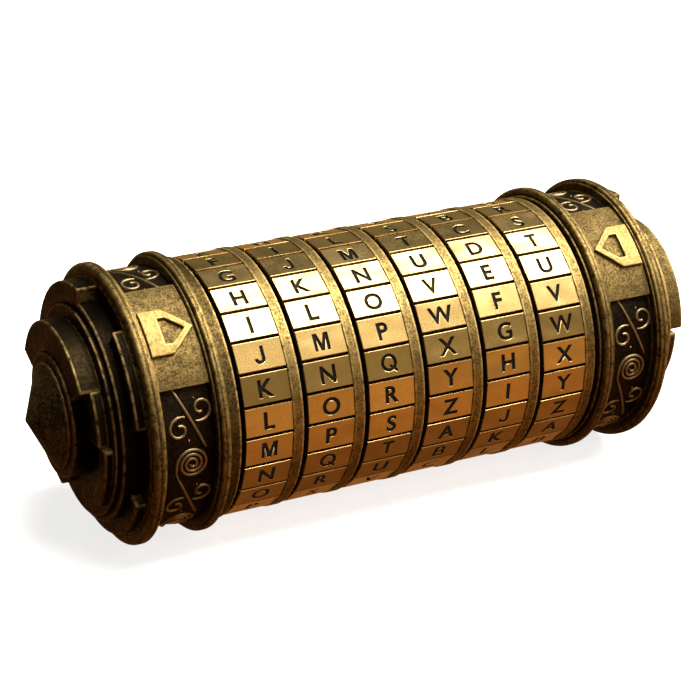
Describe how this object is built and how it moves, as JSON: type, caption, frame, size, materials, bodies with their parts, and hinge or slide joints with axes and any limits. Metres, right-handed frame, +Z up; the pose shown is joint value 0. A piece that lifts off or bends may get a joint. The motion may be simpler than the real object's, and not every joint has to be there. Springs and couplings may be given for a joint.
{
  "type": "cryptex",
  "caption": "Cylindrical puzzle vault: letter dials turn on a slotted tube, and an inner tube with a keyed rail slides out when they line up.",
  "frame": {"origin": "on the cylinder's axis, half-way between the two finial tips", "axes": "+X along the axis, the way the vault slides out; +Z up as it lies on its flanges; -Y is the side where the letters are read"},
  "size_m": [0.1106, 0.0428, 0.0428],
  "materials": {
    "tile_brass": "brushed antique brass, worn bright on the tiles and black in the grooves",
    "code_brass": "turned brass",
    "tube_brass": "smooth drawn brass",
    "collar_bronze": "cast antique bronze, dark in the channel and bright on the edges",
    "plate_bronze": "speckled pale antique bronze",
    "end_bronze": "cast, black-brown patina",
    "crown_bronze": "cast brown bronze, worn on the edges",
    "steel": "plain"
  },
  "bodies": {
    "casing": {"body_tube": "tube_brass", "tube_plug": "tube_brass", "left_collar": "collar_bronze", "left_index_plate": "plate_bronze", "left_set_screw": "steel", "left_end_cap": "end_bronze", "left_crown": "crown_bronze", "left_finial": "crown_bronze", "dial_clips": "steel"},
    "dial_1": {"letter_ring_1": "tile_brass", "code_ring_1": "code_brass"},
    "dial_2": {"letter_ring_2": "tile_brass", "code_ring_2": "code_brass"},
    "dial_3": {"letter_ring_3": "tile_brass", "code_ring_3": "code_brass"},
    "dial_4": {"letter_ring_4": "tile_brass", "code_ring_4": "code_brass"},
    "dial_5": {"letter_ring_5": "tile_brass", "code_ring_5": "code_brass"},
    "dial_6": {"letter_ring_6": "tile_brass", "code_ring_6": "code_brass"},
    "vault": {"vault_tube": "tube_brass", "vault_plug": "tube_brass", "key_rail": "steel", "key_rivets": "steel", "right_collar": "collar_bronze", "right_index_plate": "plate_bronze", "right_set_screw": "steel", "right_end_cap": "end_bronze", "right_crown": "crown_bronze", "right_finial": "crown_bronze"}
  },
  "joints": [
    {"name": "dial_1_turn", "type": "hinge", "parent": "casing", "child": "dial_1", "pos_m": [-0.0242, 0, 0], "axis": [1, 0, 0], "continuous": true},
    {"name": "dial_2_turn", "type": "hinge", "parent": "casing", "child": "dial_2", "pos_m": [-0.0142, 0, 0], "axis": [1, 0, 0], "continuous": true},
    {"name": "dial_3_turn", "type": "hinge", "parent": "casing", "child": "dial_3", "pos_m": [-0.0042, 0, 0], "axis": [1, 0, 0], "continuous": true},
    {"name": "dial_4_turn", "type": "hinge", "parent": "casing", "child": "dial_4", "pos_m": [0.0058, 0, 0], "axis": [1, 0, 0], "continuous": true},
    {"name": "dial_5_turn", "type": "hinge", "parent": "casing", "child": "dial_5", "pos_m": [0.0158, 0, 0], "axis": [1, 0, 0], "continuous": true},
    {"name": "dial_6_turn", "type": "hinge", "parent": "casing", "child": "dial_6", "pos_m": [0.0258, 0, 0], "axis": [1, 0, 0], "continuous": true},
    {"name": "vault_slide", "type": "slide", "parent": "casing", "child": "vault", "axis": [1, 0, 0], "range_m": [0, 0.09]}
  ]
}
